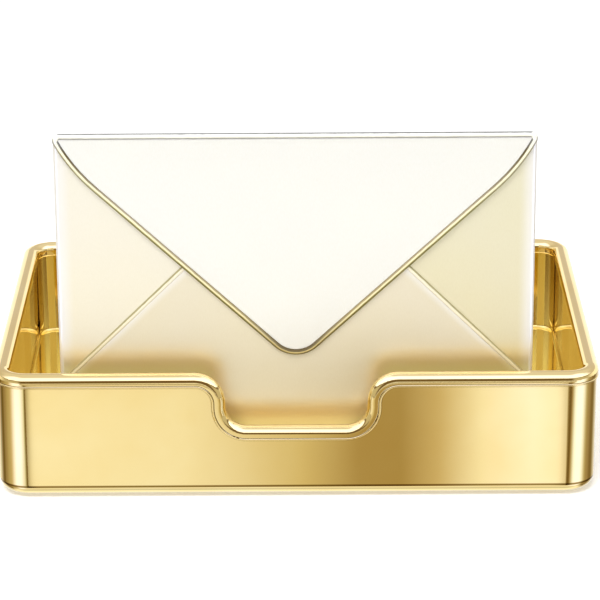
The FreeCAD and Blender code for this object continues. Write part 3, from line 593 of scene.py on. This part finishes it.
# ---- Room
# A white tent round the tray, open at the horizon, so that polished metal shows a dark line between the
# bright ceiling and the bright table.  Ceilings go by degrees above the horizon, and the table's left and
# right by degrees round from the front.
AMBIENT_FRONT = (0.75, 0.75, 0.75, 1.0)
AMBIENT_REAR = (0.5, 0.5, 0.5, 1.0)
DARK = (0.18, 0.12, 0.055)
HAZE = (0.58, 0.54, 0.44)
GREY = (0.67, 0.63, 0.64)
TENT_EDGE = (1.55, 1.7, 2.1)
DAYLIGHT = (1.6, 1.65, 2.4)
ZENITH = (0.80, 0.79, 0.88)
TABLE_BRIGHT = (1.35, 1.42, 2.1)
UNDERFOOT = ((-90, 0.72), (-70, 0.75), (-58, 1.0), (-21, 1.0))
TENT = ((20.2, DARK), (22.2, TENT_EDGE), (31, DAYLIGHT), (62, DAYLIGHT), (76, ZENITH), (90, ZENITH))
CEILING_FRONT = (*UNDERFOOT, (-17, DARK), *TENT)
CEILING_SIDE = (*UNDERFOOT, (-17, HAZE), (12, HAZE), (17, DARK), *TENT)
CEILING_REAR = ((-90, 1.15), (14, 1.15), (17, GREY), (32, GREY), (48, ZENITH), (90, ZENITH))
TABLE_LEFT = (
    (0, 1.0), (18, 1.0), (22, (1.0, 1.05, 1.3)), (26, (1.2, 1.25, 1.75)), (33, TABLE_BRIGHT),
    (46, TABLE_BRIGHT), (52, (1.15, 1.2, 1.7)), (58, (0.97, 0.98, 1.2)), (62, (0.83, 0.78, 0.79)),
    (66, (0.67, 0.57, 0.45)), (71, (0.56, 0.48, 0.31)), (79, (0.50, 0.43, 0.26)), (90, (0.38, 0.30, 0.16)),
    (98, (0.31, 0.24, 0.13)), (104, (0.18, 0.13, 0.04)), (110, (0.17, 0.115, 0.04)),
    (117, (0.31, 0.25, 0.18)), (138, 0.9), (180, 1.05))
TABLE_RIGHT = (
    (0, 1.0), (18, 1.0), (36, (1.2, 1.25, 1.7)), (43, TABLE_BRIGHT), (61, TABLE_BRIGHT),
    (66.5, (1.15, 1.22, 1.75)), (71, (0.98, 1.1, 1.4)), (75, (0.86, 0.88, 0.98)), (79.5, (0.65, 0.61, 0.52)),
    (84, (0.50, 0.44, 0.29)), (91, (0.39, 0.31, 0.18)), (101, (0.34, 0.26, 0.145)), (107, (0.26, 0.19, 0.09)),
    (117, (0.205, 0.145, 0.055)), (126, (0.30, 0.25, 0.15)), (134, (0.53, 0.48, 0.40)),
    (145, (0.75, 0.73, 0.76)), (180, 1.05))
# Where one gives way to the next: in shares of a half turn from the front, in the sideways part of the
# way out from the tray, and in angles above the horizon.
FRONT_END, SIDE_START = 0.09, 0.18
SIDE_END, REAR_START = 0.40, 0.62
AMBIENT_FRONT_END, AMBIENT_REAR_START = 0.3, 0.8
LEFT_END, RIGHT_START = -0.05, 0.05
TENT_FOOT, TABLE_FAR = math.radians(-13), math.radians(-16)
UNDERFOOT_START, TABLE_NEAR = math.radians(-64), math.radians(-52)

world = bpy.data.worlds.new("studio")
bpy.context.scene.world = world
world.use_nodes = True
tree = world.node_tree
way = parts_of(tree, tree.nodes.new("ShaderNodeTexCoord").outputs["Generated"])
elevation = reckon(tree, "ARCSINE", way["Z"])
height_share = reckon(tree, "MULTIPLY_ADD", elevation, 1 / math.pi, 0.5)
round_angle = reckon(tree, "ARCTAN2", reckon(tree, "ABSOLUTE", way["X"]),
                     reckon(tree, "MULTIPLY", way["Y"], -1.0))
round_share = reckon(tree, "DIVIDE", round_angle, math.pi)
front_sky = level_ramp(tree, height_share, CEILING_FRONT, -90, 90)
side_sky = level_ramp(tree, height_share, CEILING_SIDE, -90, 90)
rear_sky = level_ramp(tree, height_share, CEILING_REAR, -90, 90)
sky = blend_colors(tree, between(tree, round_share, FRONT_END, SIDE_START, smooth=True), front_sky, side_sky)
sky = blend_colors(tree, between(tree, round_share, SIDE_END, REAR_START, smooth=True), sky, rear_sky)
left_table = level_ramp(tree, round_share, TABLE_LEFT, 0, 180)
right_table = level_ramp(tree, round_share, TABLE_RIGHT, 0, 180)
table = blend_colors(tree, between(tree, way["X"], LEFT_END, RIGHT_START), left_table, right_table)
on_table = reckon(tree, "MULTIPLY", between(tree, elevation, TENT_FOOT, TABLE_FAR),
                  between(tree, elevation, UNDERFOOT_START, TABLE_NEAR))
mirrored = blend_colors(tree, on_table, sky, table)
to_rear = between(tree, round_share, AMBIENT_FRONT_END, AMBIENT_REAR_START, smooth=True)
ambient = blend_colors(tree, to_rear, AMBIENT_FRONT, AMBIENT_REAR)
rays = tree.nodes.new("ShaderNodeLightPath")
lit = blend_colors(tree, rays.outputs["Is Glossy Ray"], ambient, mirrored)
seen = blend_colors(tree, rays.outputs["Is Camera Ray"], lit, (1.0, 1.0, 1.0, 1.0))
tree.links.new(seen, tree.nodes["Background"].inputs["Color"])

# ---- Reflector in front of the tray
# A soft-edged card just ahead of the front wall, seen only in the metal: pale at its left, toned in the
# middle and brightest at its right, with a dark stripe near each end and three bands along its top.
# Its tones go by millimetres to the right.
CARD_DISTANCE = 0.10
CARD_LEFT, CARD_RIGHT = -0.180, 0.206
CARD_LOW, CARD_HIGH = -0.128, 0.0275
CARD_FADE_LOW, CARD_FADE_HIGH = -0.116, 0.0245
CARD_TONES = (
    (-180, (1.15, 1.22, 1.75)), (-173, (1.0, 1.08, 1.45)), (-168, (0.97, 1.02, 1.22)),
    (-161.5, (0.92, 0.96, 1.05)), (-155, (0.60, 0.59, 0.50)), (-149, (0.26, 0.21, 0.09)),
    (-144.5, (0.17, 0.12, 0.04)), (-141, (0.20, 0.15, 0.06)), (-139.9, (0.40, 0.34, 0.22)),
    (-139.3, (0.72, 0.68, 0.58)), (-138.6, (0.94, 0.92, 0.87)), (-137, 1.02), (-58, 0.96),
    (-30, (0.84, 0.79, 0.68)), (2, (0.69, 0.61, 0.41)), (32, (0.43, 0.33, 0.16)), (54, (0.42, 0.32, 0.15)),
    (74, (0.64, 0.54, 0.36)), (96, 1.0), (122, (1.17, 1.2, 1.5)), (136, (1.12, 1.15, 1.3)),
    (142, (0.60, 0.53, 0.42)), (147.5, (0.30, 0.23, 0.11)), (153, (0.18, 0.12, 0.045)),
    (164, (0.18, 0.12, 0.045)), (170.5, (0.33, 0.25, 0.12)), (178, (0.50, 0.42, 0.30)),
    (186, (0.68, 0.66, 0.63)), (194, (0.88, 0.94, 1.12)), (200, (0.97, 1.1, 1.45)), (206, (1.1, 1.2, 1.7)))
CARD_BANDS = ((0.0203, 0.0211, (0.55, 0.48, 0.38, 1.0)), (0.0236, 0.0239, (0.86, 0.82, 0.74, 1.0)),
              (0.0246, 0.0250, (0.06, 0.035, 0.01, 1.0)))


def upright(mesh, left, right, low, high, y, turn):
    """Adds an upright rectangle across the tray to a mesh, turned up from lying flat by turn degrees."""
    corners = bmesh.ops.create_grid(mesh, x_segments=1, y_segments=1, size=0.5)["verts"]
    bmesh.ops.scale(mesh, vec=(right - left, high - low, 1.0), verts=corners)
    bmesh.ops.rotate(mesh, matrix=Matrix.Rotation(math.radians(turn), 3, "X"), verts=corners)
    bmesh.ops.translate(mesh, vec=((left + right) / 2, y, (low + high) / 2), verts=corners)


def shine(tree, tones, cover):
    """Makes a material plain light of the given tones, clear where its cover is 0 and solid where 1."""
    glow = tree.nodes.new("ShaderNodeEmission")
    clear = tree.nodes.new("ShaderNodeBsdfTransparent")
    mix = tree.nodes.new("ShaderNodeMixShader")
    tree.links.new(tones, glow.inputs["Color"])
    tree.links.new(cover, mix.inputs["Fac"])
    tree.links.new(clear.outputs[0], mix.inputs[1])
    tree.links.new(glow.outputs[0], mix.inputs[2])
    tree.links.new(mix.outputs[0], tree.nodes["Material Output"].inputs["Surface"])


def show_in_shine_only(piece):
    """Hides a reflector from everything but the reflections in shiny surfaces."""
    piece.visible_camera = False
    piece.visible_diffuse = False
    piece.visible_transmission = False
    piece.visible_shadow = False


card_light, tree, shader, place = new_finish("reflector")
tree.nodes.remove(shader)
spot = parts_of(tree, place)
across = between(tree, spot["X"], CARD_LEFT, CARD_RIGHT)
tones = level_ramp(tree, across, CARD_TONES, 1000 * CARD_LEFT, 1000 * CARD_RIGHT)
for band_start, band_full, tone in CARD_BANDS:
    tones = blend_colors(tree, between(tree, spot["Z"], band_start, band_full), tones, tone)
fade = reckon(tree, "MULTIPLY", between(tree, spot["Z"], CARD_LOW, CARD_FADE_LOW, smooth=True),
              between(tree, spot["Z"], CARD_HIGH, CARD_FADE_HIGH, smooth=True))
shine(tree, tones, fade)
card_mesh = bmesh.new()
upright(card_mesh, CARD_LEFT, CARD_RIGHT, CARD_LOW, CARD_HIGH,
        y=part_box("outer_skin")[0][1] - CARD_DISTANCE, turn=90)
card = stand("reflector", card_mesh, card_light)
show_in_shine_only(card)

# ---- Reflectors between the tray's front wall and the envelope
# Gold foil strips just off the liner's front, seen only by shiny surfaces, that give the foot of the
# envelope its warm shine.  They stop under the rim and dip under the finger notch.
FOIL_GOLD = (1.08, 0.86, 0.34, 1.0)
FOIL_OLIVE = (0.52, 0.42, 0.12, 1.0)
FOIL_GOLD_END, FOIL_OLIVE_START = 0.024, 0.032
FOIL_OFF_WALL = 0.0002
FOIL_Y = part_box("inner_liner")[0][1] + LINER_SHEET + FOIL_OFF_WALL
FOIL_END = 0.138
FOIL_NOTCH_END = 0.040
FOIL_LOW, FOIL_HIGH, FOIL_NOTCH_HIGH = 0.0165, 0.057, 0.0295

foil_light, tree, shader, place = new_finish("foil")
tree.nodes.remove(shader)
from_middle = reckon(tree, "ABSOLUTE", parts_of(tree, place)["X"])
from_notch = between(tree, from_middle, FOIL_GOLD_END, FOIL_OLIVE_START)
from_behind = tree.nodes.new("ShaderNodeNewGeometry").outputs["Backfacing"]
shine(tree, blend_colors(tree, from_notch, FOIL_GOLD, FOIL_OLIVE), reckon(tree, "SUBTRACT", 1.0, from_behind))
foil_mesh = bmesh.new()
for left, right, high in ((-FOIL_END, -FOIL_NOTCH_END, FOIL_HIGH),
                          (-FOIL_NOTCH_END, FOIL_NOTCH_END, FOIL_NOTCH_HIGH),
                          (FOIL_NOTCH_END, FOIL_END, FOIL_HIGH)):
    upright(foil_mesh, left, right, FOIL_LOW, high, y=FOIL_Y, turn=-90)
foil = stand("foil_strips", foil_mesh, foil_light)
show_in_shine_only(foil)

# ---- Lamp
# One large softbox high in front and a little to the left, aimed at the middle of the tray and hidden
# from the metal.
SOFTBOX_WIDTH, SOFTBOX_HEIGHT = 1.2, 0.8
SOFTBOX_WATTS = 36.0
SOFTBOX_PLACE = (-0.3, -1.15, 1.7)
SOFTBOX_AIM = (0.0, 0.0, 0.05)

lamp_data = bpy.data.lights.new("front_softbox", "AREA")
lamp_data.shape = "RECTANGLE"
lamp_data.size = SOFTBOX_WIDTH
lamp_data.size_y = SOFTBOX_HEIGHT
lamp_data.energy = SOFTBOX_WATTS
lamp = bpy.data.objects.new("front_softbox", lamp_data)
bpy.context.scene.collection.objects.link(lamp)
lamp.location = SOFTBOX_PLACE
lamp.rotation_euler = (Vector(SOFTBOX_AIM) - lamp.location).to_track_quat("-Z", "Y").to_euler()
lamp.visible_glossy = False
